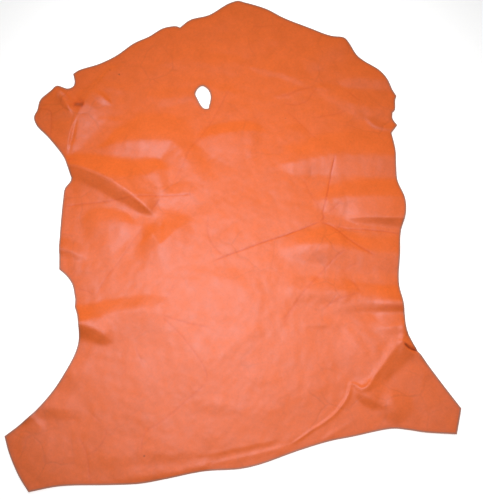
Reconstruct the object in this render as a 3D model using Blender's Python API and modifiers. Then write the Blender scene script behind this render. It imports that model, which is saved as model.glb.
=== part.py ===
"""A cut and tanned goat-sized hide lying on a surface.

One sheet of leather about 764 mm wide, 919 mm long and 1.2 mm thick, neck at
+Y and hind legs at -Y, grain side up.  It touches the surface in its calm
areas and stands off it in low folds.
"""
import math
from collections import namedtuple

import bmesh
import bpy
import numpy as np
from mathutils import Vector
from mathutils.geometry import delaunay_2d_cdt

MM = 0.001

# Sizes, in millimetres
THICKNESS = 1.2          # the leather itself
BASE_LIFT = 1.5          # how far the loose leather stands off the surface
EDGE_LIFT = 0.5          # the same, at the cut edge
EDGE_REACH = 28.0        # how far in from the edge the lift changes
CONTACT_SOFTNESS = 0.35  # rounding where the leather meets the surface
EDGE_STEP = 11.0         # facet length along the cut edge
CALM_STEP = 26.0         # facet size where the leather is calm
CREST_STEP = 12.0        # facet length along a sharp crest
SHORT_FADE = 0.42        # share of a short fold that each end fades over
LONG_FADE = 34.0         # and the most of it
FOOT_SOFTNESS = 0.14     # softness of a flank's foot, as a share of the crest
CLEAR_OF_NEIGHBOUR = 0.52  # share of the local facet size kept between points

# The cut edge, region by region, clockwise from the tip of the neck.
# A "corner" is where the cut changes direction, a "soft" row is run through.
Cut = namedtuple("Cut", "x_mm y_mm turn")
EDGE = {
    "neck": (
        Cut(6, 460, "soft"), Cut(20, 456, "soft"), Cut(34, 452, "soft"),
        Cut(63, 441, "soft"), Cut(97, 421, "soft"), Cut(149, 398, "soft"),
    ),
    "right_shoulder": (
        Cut(188, 381, "soft"), Cut(213, 376, "soft"), Cut(223, 364, "soft"),
        Cut(237, 339, "soft"), Cut(250, 327, "soft"), Cut(278, 306, "soft"),
        Cut(292, 286, "soft"), Cut(300, 267, "corner"), Cut(308, 252, "corner"),
    ),
    "right_foreleg_stub": (
        Cut(305, 244, "soft"), Cut(303, 223, "soft"), Cut(298, 217, "corner"),
        Cut(298, 205, "soft"), Cut(306, 192, "corner"), Cut(294, 176, "corner"),
    ),
    "right_flank": (
        Cut(298, 142, "soft"), Cut(298, 112, "soft"), Cut(300, 80, "soft"),
        Cut(310, 44, "soft"), Cut(310, 21, "soft"), Cut(300, -17, "soft"),
        Cut(296, -51, "soft"), Cut(291, -111, "soft"), Cut(296, -163, "soft"),
        Cut(297, -191, "soft"), Cut(307, -215, "soft"),
    ),
    "right_hind_leg": (
        Cut(316, -230, "corner"), Cut(349, -279, "soft"), Cut(382, -326, "corner"),
        Cut(376, -349, "soft"), Cut(371, -368, "corner"), Cut(319, -365, "soft"),
        Cut(291, -361, "soft"), Cut(265, -359, "soft"),
    ),
    "rump": (
        Cut(197, -372, "soft"), Cut(160, -379, "soft"), Cut(108, -394, "soft"),
        Cut(43, -416, "soft"), Cut(10, -423, "soft"), Cut(-51, -427, "soft"),
        Cut(-113, -439, "soft"), Cut(-154, -446, "soft"),
    ),
    "left_hind_leg": (
        Cut(-200, -448, "soft"), Cut(-285, -450, "soft"), Cut(-335, -459, "corner"),
        Cut(-353, -434, "soft"), Cut(-372, -398, "soft"), Cut(-382, -371, "corner"),
        Cut(-359, -353, "soft"), Cut(-328, -324, "soft"), Cut(-295, -278, "soft"),
    ),
    "left_flank": (
        Cut(-272, -229, "soft"), Cut(-268, -199, "soft"), Cut(-271, -173, "soft"),
        Cut(-279, -153, "corner"), Cut(-279, -140, "corner"), Cut(-286, -113, "soft"),
        Cut(-297, -98, "soft"), Cut(-311, -86, "corner"), Cut(-314, -32, "soft"),
        Cut(-313, 44, "soft"), Cut(-311, 66, "soft"), Cut(-301, 81, "soft"),
        Cut(-300, 86, "corner"), Cut(-314, 122, "soft"),
    ),
    "left_foreleg": (
        Cut(-348, 166, "soft"), Cut(-373, 192, "soft"), Cut(-379, 209, "soft"),
        Cut(-374, 223, "soft"), Cut(-370, 244, "soft"), Cut(-351, 264, "corner"),
        Cut(-341, 274, "soft"), Cut(-319, 268, "soft"), Cut(-309, 273, "soft"),
        Cut(-307, 282, "soft"), Cut(-311, 299, "corner"),
    ),
    "left_shoulder": (
        Cut(-300, 307, "soft"), Cut(-261, 321, "soft"), Cut(-229, 339, "soft"),
        Cut(-197, 365, "soft"), Cut(-168, 380, "soft"), Cut(-141, 398, "soft"),
        Cut(-116, 403, "soft"), Cut(-108, 400, "corner"), Cut(-88, 417, "soft"),
        Cut(-51, 428, "soft"), Cut(-14, 453, "soft"),
    ),
}

# The flaw hole behind the neck, clockwise from its top.
HOLE = (
    Cut(-62, 273, "soft"), Cut(-50, 264, "soft"), Cut(-46, 250, "soft"),
    Cut(-50, 226, "corner"), Cut(-59, 227, "soft"), Cut(-71, 246, "soft"),
    Cut(-75, 257, "soft"), Cut(-70, 268, "soft"),
)

# Where the leather lies flat on the surface: the middle of each area, its two
# half widths and how far outside them the leather is back at its usual lift.
Rest = namedtuple("Rest", "name x_mm y_mm half_x_mm half_y_mm blend_mm")
RESTS = (
    Rest("neck", 75, 365, 60, 26, 40),
    Rest("left_shoulder", -190, 285, 34, 30, 35),
    Rest("belly_left", -150, -262, 78, 34, 40),
    Rest("belly_right", 150, -215, 36, 38, 35),
    Rest("middle", -20, 40, 50, 80, 45),
    Rest("right_side", 110, 50, 30, 32, 30),
    Rest("rump", 10, -365, 70, 18, 20),
    Rest("left_leg", -325, -415, 24, 24, 30),
    Rest("right_leg", 325, -322, 26, 26, 30),
)

# The main folds, one row each.  Rise and widths are given at even steps from
# the path's start to its end; left and right are the sides seen along the path
# from above.  A negative rise is a trough.
Fold = namedtuple("Fold", "name rise_mm left_mm right_mm profile round_mm fade_mm path")
FOLDS = (
    # left foreleg
    Fold("foreleg_arm", (0.4, 3.8, 5.8, 5.8, 3.6), (34, 44, 50, 46, 34),
         (14, 14, 13, 12, 12), "tent", 2.2, (12, 14),
         ((-299, 198), (-308, 215), (-318, 233), (-331, 252), (-348, 272))),
    Fold("shoulder_arc", (0.6, 3.0, 5.2, 7.0, 8.0, 5.6, 2.4, 1.2, 0.5),
         (20, 46, 50, 50, 26, 14, 10, 9, 8), (8, 28, 42, 52, 54, 50, 42, 32, 24), "tent",
         3.0, (6, 40),
         ((-313, 120), (-311, 146), (-307, 174), (-299, 202), (-288, 229), (-273, 255),
          (-256, 281), (-240, 306), (-216, 332))),
    Fold("foreleg_pocket", (-1.8, -3.4, -3.0), (12, 11, 10), (8, 9, 8), "soft", 2.0, (10, 8),
         ((-312, 252), (-302, 243), (-292, 236), (-280, 230))),
    # left shoulder
    Fold("shoulder_band", (0.92, 3.22, 5.75, 6.60, 6.40, 5.40, 4.20, 3.00, 2.10, 1.20, 0.40),
         (12, 14, 34, 54, 58, 48, 38, 34, 30, 26, 20),
         (18, 26, 34, 38, 38, 38, 42, 46, 50, 50, 44), "tent", 7.0, (30, 34),
         ((-262, 141), (-232, 149), (-205, 157), (-175, 159), (-145, 161), (-122, 160),
          (-108, 151), (-98, 136), (-89, 118), (-76, 98), (-58, 72), (-36, 44))),
    Fold("flank_band", (3.60, 4.80, 5.76, 6.00, 5.52, 3.60), (18, 32, 42, 40, 34, 20),
         (22, 48, 62, 70, 66, 50), "tent", 6.0, (0, 26),
         ((-314, 112), (-290, 107), (-262, 98), (-232, 89), (-200, 86), (-168, 90),
          (-140, 98), (-112, 106))),
    Fold("flank_ridge", (4.8, 6.2, 6.6, 6.2, 5.2, 3.2), (14, 34, 52, 52, 42, 26),
         (19, 23, 22, 20, 16, 11), "tent", 5.0, (0, 18),
         ((-314, 110), (-298, 106), (-270, 96), (-240, 81), (-210, 62), (-190, 50),
          (-165, 32), (-140, 9))),
    Fold("flank_roll", (0.3, 1.4, 3.0, 3.8, 3.6, 2.8, 1.8), (36, 34, 30, 28, 24, 16, 13),
         (50, 54, 56, 56, 50, 34, 18), "tent", 13.0, (30, 10),
         ((-285, -14), (-262, -8), (-240, -2), (-216, 0), (-196, -3), (-180, -7),
          (-168, -10))),
    Fold("back_step", (0.8, 1.9, 1.4, 0.8), (22, 22, 24, 26), (30, 28, 30, 30), "tent", 6.0,
         (24, 40),
         ((-150, 40), (-128, 50), (-105, 54), (-78, 54), (-40, 52))),
    Fold("back_vee_right", (1.8, 3.8, 5.0, 4.2, 2.6, 1.0), (16, 22, 30, 32, 30, 26),
         (16, 20, 50, 40, 30, 24), "tent", 2.6, (12, 24),
         ((-168, 0), (-151, -18), (-133, -40), (-117, -28), (-98, -10), (-70, 10))),
    # waist
    Fold("waist_roll", (7.0, 5.6, 4.4, 3.8, 2.2, 0.8), (30, 28, 27, 27, 27, 26),
         (30, 44, 54, 60, 60, 60), "tent", 8.0, (0, 60),
         ((-284, -181), (-262, -179), (-235, -173), (-205, -165), (-170, -161), (-135, -160),
          (-75, -160))),
    Fold("hind_roll_upper", (2.0, 1.4, 0.5), (26, 26, 24), (30, 28, 24), "tent", 8.0,
         (0, 30),
         ((-300, -262), (-284, -266), (-262, -268), (-236, -274))),
    Fold("hind_roll_lower", (2.6, 2.0, 1.0), (26, 26, 24), (17, 19, 22), "tent", 5.0,
         (0, 50),
         ((-348, -336), (-332, -328), (-312, -325), (-288, -326), (-240, -334))),
    Fold("hind_pinch", (2.0, 0.9), (10, 9), (20, 18), "tent", 3.0, (0, 24),
         ((-350, -330), (-342, -339), (-330, -350), (-312, -368))),
    # rear edge and the long fold to the right hind leg
    Fold("rear_curl", (0.27, 1.00, 1.46, 1.46), (18, 18, 16, 14), (12, 12, 12, 12), "tent",
         4.0, (60, 0),
         ((-240, -440), (-190, -437), (-150, -434), (-110, -429), (-75, -423), (-50, -417))),
    Fold("rear_band", (0.7, 0.8), (30, 28), (20, 18), "tent", 5.0, (50, 40),
         ((-290, -402), (-240, -404), (-200, -405), (-150, -399), (-100, -398), (-40, -398))),
    Fold("rump_upper", (0.5, 1.0, 1.0), (44, 50, 40), (8, 8, 8), "tent", 2.6, (30, 16),
         ((-70, -402), (-45, -399), (-20, -394), (10, -388), (45, -381), (84, -373))),
    Fold("rump_lower", (0.39, 0.65, 0.65), (6, 6, 6), (10, 12, 12), "tent", 2.4, (24, 16),
         ((-62, -421), (-25, -413), (10, -406), (45, -398), (78, -390), (100, -380))),
    Fold("long_fold_top", (0.8, 1.4, 1.4, 0.8), (9, 9, 9, 8), (16, 14, 12, 10), "tent", 2.4,
         (12, 16),
         ((284, -224), (288, -212), (291, -200), (292, -186), (292, -170))),
    Fold("leg_end_fold", (1.4, 2.6, 2.6), (7, 7, 6), (20, 22, 16), "tent", 2.4, (14, 0),
         ((276, -212), (289, -216), (300, -223), (310, -230), (322, -236))),
    Fold("rump_branch", (2.2, 4.4, 4.4, 3.0, 1.0), (28, 30, 34, 32, 30),
         (14, 17, 17, 17, 16), "tent", 5.0, (14, 30),
         ((196, -288), (212, -298), (228, -307), (245, -316), (264, -328))),
    # right flank
    Fold("hip_band", (0.2, 1.2, 3.2, 6.0, 8.8), (30, 34, 34, 28, 26), (28, 24, 20, 19, 19),
         "tent", 15.0, (60, 0),
         ((130, -150), (180, -144), (222, -143), (262, -144), (305, -145))),
    Fold("side_fold", (1.4, 4.8, 7.6), (30, 32, 34), (8, 14, 20), "tent", 2.2, (36, 0),
         ((190, 9), (216, 10), (246, 10), (278, 9), (318, 8))),
    Fold("side_swell", (0.96, 4.32, 6.48, 7.68), (18, 30, 36, 38), (24, 36, 42, 44), "tent",
         7.0, (40, 0),
         ((136, 40), (175, 45), (205, 48), (240, 48), (280, 47), (320, 47))),
    Fold("side_band", (0.92, 4.14, 5.75, 6.90, 7.60), (26, 38, 46, 50, 52),
         (20, 32, 40, 44, 46), "tent", 9.0, (40, 0),
         ((70, 110), (112, 119), (152, 127), (190, 132), (235, 132), (275, 131), (312, 129))),
    Fold("middle_band", (0.20, 2.40, 5.00, 5.80, 5.20, 4.60, 4.20, 4.40),
         (16, 26, 32, 34, 30, 30, 32, 34), (24, 28, 34, 38, 36, 36, 36, 36), "tent", 8.0,
         (30, 0),
         ((66, -44), (105, -44), (140, -42), (172, -42), (200, -48), (230, -56), (265, -58),
          (306, -58))),
    Fold("lower_band", (0.4, 1.6, 2.4, 2.6, 1.6), (26, 28, 28, 26, 22), (18, 22, 22, 22, 20),
         "tent", 8.0, (30, 36),
         ((70, -122), (105, -125), (140, -127), (180, -126), (226, -120))),
    # right shoulder and neck
    Fold("corner_band", (1.32, 3.30, 3.74), (30, 36, 38), (22, 24, 26), "tent", 8.0, (40, 0),
         ((186, 288), (220, 290), (250, 291), (300, 288))),
    Fold("corner_fold", (0.8, 1.5, 1.7), (14, 30, 34), (16, 24, 28), "tent", 6.0, (24, 0),
         ((150, 270), (180, 258), (205, 245), (235, 233), (265, 226), (312, 226))),
    Fold("shoulder_crease", (1.0, 1.5, 1.2), (44, 40, 24), (13, 13, 13), "tent", 4.0,
         (20, 20),
         ((18, 319), (65, 307), (95, 299), (120, 287), (148, 268))),
    Fold("neck_band", (1.0, 1.6), (24, 22), (28, 28), "tent", 7.0, (30, 20),
         ((-74, 317), (-40, 319), (-5, 320), (30, 316))),
    Fold("neck_diagonal", (2.75, 1.75), (30, 22), (44, 26), "tent", 8.0, (0, 34),
         ((222, 384), (200, 364), (172, 342), (150, 318), (142, 296))),
    Fold("middle_plateau", (3.00, 3.75, 3.00), (20, 22, 20), (40, 64, 70), "tent", 4.5,
         (18, 40),
         ((-76, 156), (-60, 164), (-40, 170), (-20, 174), (25, 178), (66, 176))),
    Fold("long_fold", (0.6, 0.8, 0.9, 1.0, 1.1, 1.2, 1.1, 0.5, 0.0, 0.0),
         (3, 3, 3, 3, 3.4, 4.4, 5.4, 7, 8, 8), (4.4, 4.6, 5, 5.4, 6, 7, 8, 8, 8, 8), "tent",
         1.5, (14, 6),
         ((88, -387), (108, -376), (130, -361), (150, -349), (170, -334), (185, -317),
          (193, -305), (196, -295), (199, -286), (206, -287), (215, -293), (227, -289),
          (238, -273), (250, -257), (262, -239), (274, -224), (287, -214))),
    Fold("thigh_valley", (-0.2, -0.3, -0.5, -0.9, -0.8), (12, 13, 14, 14, 13),
         (10, 12, 13, 13, 12), "soft", 0.0, (20, 14),
         ((226, -278), (234, -265), (244, -249), (255, -231), (268, -215), (281, -204))),
    Fold("leg_lift_right", (2.4, 4.0, 3.4), (40, 40, 40), (120, 130, 120), "tent", 16.0,
         (0, 0),
         ((350, -270), (380, -320), (376, -370), (350, -392))),
    Fold("leg_lift_left", (1.4, 1.8, 1.3), (120, 120, 100), (40, 40, 40), "tent", 16.0,
         (0, 0),
         ((-398, -352), (-376, -396), (-346, -446), (-330, -478))),
    Fold("thigh_rise", (0.8, 2.8, 5.4, 7.4, 8.0), (60, 84, 96, 96, 80), (9, 16, 24, 31, 34),
         "tent", 2.4, (30, 0),
         ((206, -308), (222, -291), (238, -273), (254, -253), (270, -232), (289, -212))),
    Fold("foreleg_slit", (-0.5, -1.3, -1.7, -1.5, -0.8), (5, 5, 5, 5, 5), (5, 6, 6, 6, 6),
         "tent", 1.4, (10, 12),
         ((-308, 126), (-306, 150), (-302, 176), (-298, 194), (-292, 212))),
    Fold("waist_lip", (4.6, 4.6, 4.0, 2.4), (24, 26, 26, 22), (18, 20, 20, 18), "tent", 4.0,
         (0, 22),
         ((-286, -183), (-262, -186), (-236, -195), (-200, -218))),
    Fold("hip_second", (0.5, 1.8, 3.4, 4.0), (60, 74, 80, 80), (13, 14, 15, 16), "tent", 3.0,
         (24, 0),
         ((232, -192), (258, -191), (282, -188), (304, -182))),
)


def through(points, step):
    """Evenly drawn points on a smooth curve through the given ones."""
    points = [np.array(p, dtype=float) for p in points]
    ends = [2 * points[0] - points[1]] + points + [2 * points[-1] - points[-2]]
    drawn = []
    for a, b, c, d in zip(ends, ends[1:], ends[2:], ends[3:]):
        t0, t1 = 0.0, math.dist(a, b) ** 0.5
        t2 = t1 + math.dist(b, c) ** 0.5
        t3 = t2 + math.dist(c, d) ** 0.5
        count = max(1, round(math.dist(b, c) / step))
        for t in np.linspace(t1, t2, count, endpoint=False):
            ab = (a * (t1 - t) + b * (t - t0)) / (t1 - t0)
            bc = (b * (t2 - t) + c * (t - t1)) / (t2 - t1)
            cd = (c * (t3 - t) + d * (t - t2)) / (t3 - t2)
            abc = (ab * (t2 - t) + bc * (t - t0)) / (t2 - t0)
            bcd = (bc * (t3 - t) + cd * (t - t1)) / (t3 - t1)
            drawn.append((abc * (t2 - t) + bcd * (t - t1)) / (t2 - t1))
    drawn.append(points[-1])
    return drawn


def closed_edge(rows, step):
    """A closed loop through the rows, sharp at corners and smooth elsewhere."""
    first = next((i for i, r in enumerate(rows) if r.turn == "corner"), 0)
    rows = rows[first:] + rows[:first]
    loop, run = [], []
    for row in rows + (rows[0],):
        run.append((row.x_mm, row.y_mm))
        if len(run) > 1 and (row.turn == "corner" or row is rows[0]):
            loop += through(run, step)[:-1]
            run = [(row.x_mm, row.y_mm)]
    return np.array(loop)


def inside(points, loop):
    """Which points lie within a closed loop."""
    x, y = points[:, 0:1], points[:, 1:2]
    ax, ay = loop[:, 0], loop[:, 1]
    bx, by = np.roll(ax, -1), np.roll(ay, -1)
    crosses = (ay > y) != (by > y)
    run = np.where(by == ay, 1.0, by - ay)
    return ((crosses & (x < ax + (y - ay) / run * (bx - ax))).sum(axis=1) % 2) == 1


def nearest_on(points, line, closed=False):
    """Distance, side (+1 left) and share of the way along, for each point."""
    a = line if closed else line[:-1]
    b = np.roll(line, -1, axis=0) if closed else line[1:]
    seg = b - a
    length = np.hypot(seg[:, 0], seg[:, 1])
    before = np.concatenate(([0.0], np.cumsum(length)[:-1]))
    rel = points[:, None, :] - a[None]
    along = np.clip((rel * seg).sum(axis=2) / length ** 2, 0, 1)
    off = rel - along[..., None] * seg
    dist = np.hypot(off[..., 0], off[..., 1])
    pick = dist.argmin(axis=1)
    rows = np.arange(len(points))
    off = off[rows, pick]
    chosen = seg[pick]
    side = np.where(chosen[:, 0] * off[:, 1] - chosen[:, 1] * off[:, 0] >= 0, 1.0, -1.0)
    travelled = before[pick] + along[rows, pick] * length[pick]
    return dist[rows, pick], side, travelled, length.sum()


def ease(t):
    t = np.clip(t, 0.0, 1.0)
    return t * t * (3 - 2 * t)


def along(values, t):
    """Values given at even steps from the start (t = 0) to the end (t = 1)."""
    return np.interp(t, np.linspace(0, 1, len(values)), values)


def fold_height(points, fold):
    """What one fold adds to the height of each point, in millimetres."""
    reach = 1.7 * max(fold.left_mm + fold.right_mm) + fold.round_mm
    path = np.array(fold.path, dtype=float)
    near = ((points > path.min(axis=0) - reach) & (points < path.max(axis=0) + reach)).all(axis=1)
    height = np.zeros(len(points))
    if not near.any():
        return height
    line = np.array(through(fold.path, 5.0))
    dist, side, travelled, total = nearest_on(points[near], line)
    t = travelled / total
    width = np.where(side > 0, along(fold.left_mm, t), along(fold.right_mm, t))
    # an end that fades out also narrows, like the end of a real fold
    left_over = np.ones(len(t))
    for fade, gone in ((fold.fade_mm[0], travelled), (fold.fade_mm[1], total - travelled)):
        if fade > 0:
            left_over = left_over * ease(gone / max(fade, min(SHORT_FADE * total, LONG_FADE)))
    width = width * (0.45 + 0.55 * left_over)
    if fold.profile == "soft":
        shape = 0.5 + 0.5 * np.cos(np.pi * np.clip(dist / width, 0, 1))
    else:    # straight flanks, a rounded crest and a soft foot
        rounded = np.sqrt(dist ** 2 + fold.round_mm ** 2) - fold.round_mm
        fall = 1 - rounded / (np.sqrt(width ** 2 + fold.round_mm ** 2) - fold.round_mm)
        shape = (fall + np.sqrt(fall ** 2 + FOOT_SOFTNESS ** 2)) / 2 * (fall > -0.7)
    height[near] = along(fold.rise_mm, t) * left_over * shape
    return height


def rest_share(points, rest):
    """1 where the leather is pressed flat, easing to 0 around it."""
    dx = np.abs(points[:, 0] - rest.x_mm) / rest.half_x_mm
    dy = np.abs(points[:, 1] - rest.y_mm) / rest.half_y_mm
    out = (np.hypot(dx, dy) - 1) * min(rest.half_x_mm, rest.half_y_mm)
    return 1 - ease(out / rest.blend_mm)


def underside(points, edge):
    """Height of the underside above the surface, never below it."""
    to_edge = nearest_on(points, edge, closed=True)[0]
    raw = along((EDGE_LIFT, BASE_LIFT), ease(to_edge / EDGE_REACH))
    for rest in RESTS:
        raw = raw - (BASE_LIFT + 1.0) * rest_share(points, rest)
    for fold in FOLDS:
        raw = raw + fold_height(points, fold)
    soft = CONTACT_SOFTNESS
    return np.where(raw <= 0, 0.0, np.where(raw < 2 * soft, raw ** 2 / (4 * soft), raw - soft))


def facet_points(edge, hole):
    """Points for the sheet's facets: close together on folds, wide apart between."""
    found, sizes = [], []
    for fold in FOLDS:
        line = np.array(through(fold.path, 4.0))
        step = CREST_STEP if fold.round_mm < 4.5 else 1.5 * CREST_STEP
        total = np.hypot(*np.diff(line, axis=0).T).sum()
        count = max(2, round(total / step))
        pick = np.linspace(0, len(line) - 1, count + 1)
        for n, i in enumerate(pick):
            i0 = min(int(i), len(line) - 2)
            here = line[i0] + (line[i0 + 1] - line[i0]) * (i - i0)
            ahead = line[min(i0 + 2, len(line) - 1)] - line[max(i0 - 1, 0)]
            ahead = ahead / np.hypot(*ahead)
            left = np.array((-ahead[1], ahead[0]))
            t = n / count
            rows = [(0.0, step * 0.8)]
            for sign, widths in ((1, fold.left_mm), (-1, fold.right_mm)):
                wide = along(widths, t)
                shares = (0.33, 0.7, 1.0) if wide > 16 else (0.5, 1.0)
                rows += [(sign * wide * s, max(7.0, wide * 0.42)) for s in shares]
            for off, size in rows:
                found.append(here + left * off)
                sizes.append(size)
    span = 460
    for j, y in enumerate(np.arange(-span, span, CALM_STEP * 0.866)):
        for x in np.arange(-span + (j % 2) * CALM_STEP / 2, span, CALM_STEP):
            found.append(np.array((x, y)))
            sizes.append(CALM_STEP)
    found, sizes = np.array(found), np.array(sizes)
    keep = inside(found, edge) & ~inside(found, hole)
    keep &= nearest_on(found, edge, closed=True)[0] > 5.0
    keep &= nearest_on(found, hole, closed=True)[0] > 4.0
    found, sizes = found[keep], sizes[keep]
    chosen = np.empty((0, 2))
    for point, size in zip(found, sizes):
        if len(chosen) == 0 or np.hypot(*(chosen - point).T).min() > size * CLEAR_OF_NEIGHBOUR:
            chosen = np.vstack((chosen, point))
    return chosen


def sheet_mesh(name):
    rows = tuple(row for region in EDGE.values() for row in region)
    edge = closed_edge(rows, EDGE_STEP)
    hole = closed_edge(HOLE, 9.0)
    centre = (edge.max(axis=0) + edge.min(axis=0)) / 2
    points = np.vstack((edge, hole, facet_points(edge, hole)))
    count, ring = len(edge), len(hole)
    rims = [(i, (i + 1) % count) for i in range(count)]
    rims += [(count + i, count + (i + 1) % ring) for i in range(ring)]
    flat, _, faces, _, _, _ = delaunay_2d_cdt([Vector(p) for p in points], rims, [], 0, 1e-4)
    flat = np.array([tuple(v) for v in flat])
    middle = np.array([flat[list(f)].mean(axis=0) for f in faces])
    real = inside(middle, edge) & ~inside(middle, hole)
    height = underside(flat, edge)
    bm = bmesh.new()
    made = [bm.verts.new(((x - centre[0]) * MM, (y - centre[1]) * MM, z * MM))
            for (x, y), z in zip(flat, height)]
    for face, wanted in zip(faces, real):
        if wanted:
            bm.faces.new([made[i] for i in face])
    loose = [v for v in bm.verts if not v.link_faces]
    bmesh.ops.delete(bm, geom=loose, context="VERTS")
    bmesh.ops.recalc_face_normals(bm, faces=bm.faces)
    if sum(f.normal.z for f in bm.faces) < 0:
        bmesh.ops.reverse_faces(bm, faces=bm.faces)
    mesh = bpy.data.meshes.new(name)
    bm.to_mesh(mesh)
    bm.free()
    return mesh


def leather():
    material = bpy.data.materials.new("tan_orange_leather")
    material.use_nodes = True
    shader = material.node_tree.nodes["Principled BSDF"]
    shader.inputs["Base Color"].default_value = (0.78, 0.18, 0.07, 1.0)
    shader.inputs["Roughness"].default_value = 0.5
    shader.inputs["Metallic"].default_value = 0.0
    return material


def build():
    for old in list(bpy.data.objects):
        bpy.data.objects.remove(old, do_unlink=True)
    group = bpy.data.collections.new("leather_hide")
    bpy.context.scene.collection.children.link(group)
    hide = bpy.data.objects.new("hide", sheet_mesh("hide"))
    group.objects.link(hide)
    hide.data.materials.append(leather())
    hide.data.shade_smooth()
    # the drawn surface stays as the underside, the leather is laid on top of it
    skin = hide.modifiers.new("leather_thickness", "SOLIDIFY")
    skin.thickness = THICKNESS * MM
    skin.offset = 1.0
    skin.use_rim = True
    skin.use_even_offset = False


build()
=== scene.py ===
"""A cut and tanned goat-sized hide lying on a pale floor, grain side up."""
import math
from collections import namedtuple

import bmesh
import bpy
import numpy as np
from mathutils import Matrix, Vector
from mathutils.geometry import delaunay_2d_cdt
from mathutils.kdtree import KDTree


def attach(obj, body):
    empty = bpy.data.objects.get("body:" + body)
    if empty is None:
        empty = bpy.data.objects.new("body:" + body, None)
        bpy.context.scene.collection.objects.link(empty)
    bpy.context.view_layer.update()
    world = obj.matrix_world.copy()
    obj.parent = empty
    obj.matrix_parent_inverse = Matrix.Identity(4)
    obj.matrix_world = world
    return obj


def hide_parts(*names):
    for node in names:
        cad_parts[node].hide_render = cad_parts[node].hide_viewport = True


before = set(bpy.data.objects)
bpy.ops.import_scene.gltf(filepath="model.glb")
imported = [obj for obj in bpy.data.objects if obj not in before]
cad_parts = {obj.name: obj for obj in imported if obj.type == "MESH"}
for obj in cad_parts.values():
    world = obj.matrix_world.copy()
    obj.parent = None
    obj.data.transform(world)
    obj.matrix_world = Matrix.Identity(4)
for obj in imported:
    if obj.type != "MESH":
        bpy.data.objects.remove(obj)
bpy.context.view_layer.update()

MM = 0.001

# Sizes, in millimetres
THICKNESS = 1.2
BASE_LIFT = 0.9
EDGE_LIFT = 0.3
EDGE_REACH = 30.0
CONTACT_SOFTNESS = 0.4
SHORT_FADE = 0.42         # share of a short fold that each end fades over
LONG_FADE = 34.0          # mm, the most of it
FOOT_SOFTNESS = 0.14      # as a share of a flank's width
EDGE_STEP = 3.0          # along the cut edge
GRAIN_STEP = 4.0         # mesh size of the grain side where it is calm
FLESH_STEP = 5.4         # mesh size of the flesh side
ROW_STEP = 2.8           # along a crest or crease
RIM_ROW = 2.1             # mesh row beside the cut edge
GRAIN_ROWS = (0.0, 1.2, 2.6, 4.4, 6.6)   # mesh rows on both sides of a crest
FLESH_ROWS = (0.0, 3.0, 6.6)
SLOW_WAVES = 0.44        # height of the unevenness that both sides share
SMALL_WAVES = 0.12      # and of the finer one in the grain side alone

# The cut edge, region by region, clockwise from the tip of the neck.
# A "corner" is where the cut changes direction, a "soft" row is run through.
Cut = namedtuple("Cut", "x_mm y_mm turn")
EDGE = {
    "neck": (
        Cut(6, 460, "soft"), Cut(20, 456, "soft"), Cut(34, 452, "soft"),
        Cut(63, 441, "soft"), Cut(97, 421, "soft"), Cut(149, 398, "soft"),
    ),
    "right_shoulder": (
        Cut(188, 381, "soft"), Cut(213, 376, "soft"), Cut(223, 364, "soft"),
        Cut(237, 339, "soft"), Cut(250, 327, "soft"), Cut(278, 306, "soft"),
        Cut(292, 286, "soft"), Cut(300, 267, "corner"), Cut(308, 252, "corner"),
    ),
    "right_foreleg_stub": (
        Cut(305, 244, "soft"), Cut(303, 223, "soft"), Cut(298, 217, "corner"),
        Cut(298, 205, "soft"), Cut(306, 192, "corner"), Cut(294, 176, "corner"),
    ),
    "right_flank": (
        Cut(298, 142, "soft"), Cut(298, 112, "soft"), Cut(300, 80, "soft"),
        Cut(310, 44, "soft"), Cut(310, 21, "soft"), Cut(300, -17, "soft"),
        Cut(296, -51, "soft"), Cut(291, -111, "soft"), Cut(296, -163, "soft"),
        Cut(297, -191, "soft"), Cut(307, -215, "soft"),
    ),
    "right_hind_leg": (
        Cut(316, -230, "corner"), Cut(349, -279, "soft"), Cut(382, -326, "corner"),
        Cut(376, -349, "soft"), Cut(371, -368, "corner"), Cut(319, -365, "soft"),
        Cut(291, -361, "soft"), Cut(265, -359, "soft"),
    ),
    "rump": (
        Cut(197, -372, "soft"), Cut(160, -379, "soft"), Cut(108, -394, "soft"),
        Cut(43, -416, "soft"), Cut(10, -423, "soft"), Cut(-51, -427, "soft"),
        Cut(-113, -439, "soft"), Cut(-154, -446, "soft"),
    ),
    "left_hind_leg": (
        Cut(-200, -448, "soft"), Cut(-285, -450, "soft"), Cut(-335, -459, "corner"),
        Cut(-353, -434, "soft"), Cut(-372, -398, "soft"), Cut(-382, -371, "corner"),
        Cut(-359, -353, "soft"), Cut(-328, -324, "soft"), Cut(-295, -278, "soft"),
    ),
    "left_flank": (
        Cut(-272, -229, "soft"), Cut(-268, -199, "soft"), Cut(-271, -173, "soft"),
        Cut(-279, -153, "corner"), Cut(-279, -140, "corner"), Cut(-286, -113, "soft"),
        Cut(-297, -98, "soft"), Cut(-311, -86, "corner"), Cut(-314, -32, "soft"),
        Cut(-313, 44, "soft"), Cut(-311, 66, "soft"), Cut(-301, 81, "soft"),
        Cut(-300, 86, "corner"), Cut(-314, 122, "soft"),
    ),
    "left_foreleg": (
        Cut(-348, 166, "soft"), Cut(-373, 192, "soft"), Cut(-379, 209, "soft"),
        Cut(-374, 223, "soft"), Cut(-370, 244, "soft"), Cut(-351, 264, "corner"),
        Cut(-341, 274, "soft"), Cut(-319, 268, "soft"), Cut(-309, 273, "soft"),
        Cut(-307, 282, "soft"), Cut(-311, 299, "corner"),
    ),
    "left_shoulder": (
        Cut(-300, 307, "soft"), Cut(-261, 321, "soft"), Cut(-229, 339, "soft"),
        Cut(-197, 365, "soft"), Cut(-168, 380, "soft"), Cut(-141, 398, "soft"),
        Cut(-116, 403, "soft"), Cut(-108, 400, "corner"), Cut(-88, 417, "soft"),
        Cut(-51, 428, "soft"), Cut(-14, 453, "soft"),
    ),
}

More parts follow.
